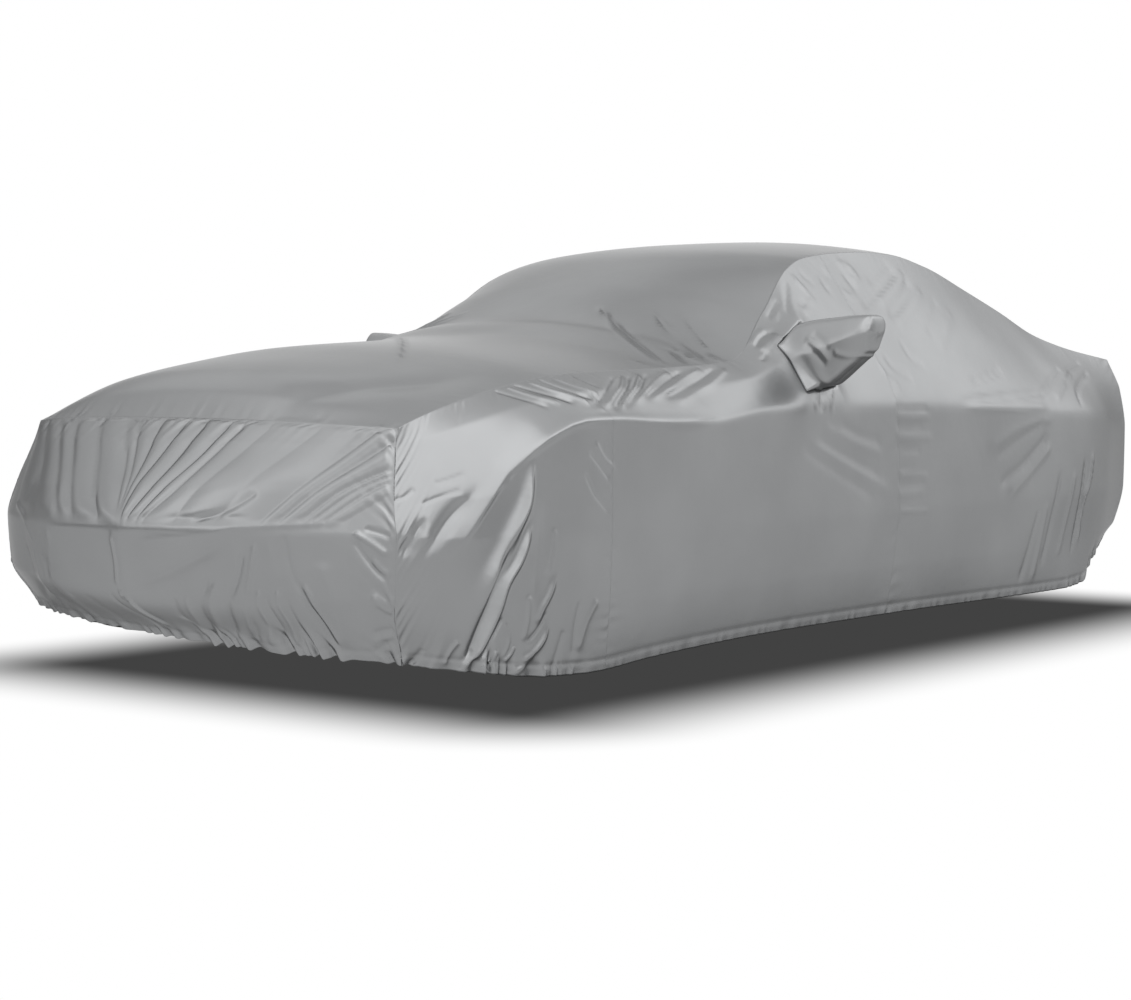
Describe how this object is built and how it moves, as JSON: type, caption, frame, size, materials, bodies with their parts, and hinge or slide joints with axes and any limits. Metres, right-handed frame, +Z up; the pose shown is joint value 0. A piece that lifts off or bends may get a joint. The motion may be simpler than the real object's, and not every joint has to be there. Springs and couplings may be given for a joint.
{
  "type": "car cover",
  "caption": "Fitted car cover of thin grey cloth, hollow and open underneath, sewn from a top strip, end and side panels, with a pocket over each door mirror.",
  "frame": {"origin": "underside of the cloth at the roof's highest point, on the middle plane, where the vehicle's roof carries the cover", "axes": "+Z up, +Y towards the tail, +X towards the driver's side; the nose faces -Y"},
  "size_m": [2.2132, 4.9982, 1.3428],
  "materials": {
    "cloth": "coated polyester, satin"
  },
  "bodies": {
    "root": {"top_panel": "cloth", "front_panel": "cloth", "rear_panel": "cloth", "side_front_l": "cloth", "side_middle_l": "cloth", "side_rear_l": "cloth", "side_front_r": "cloth", "side_middle_r": "cloth", "side_rear_r": "cloth", "mirror_pocket_l": "cloth", "mirror_pocket_r": "cloth"}
  },
  "joints": []
}
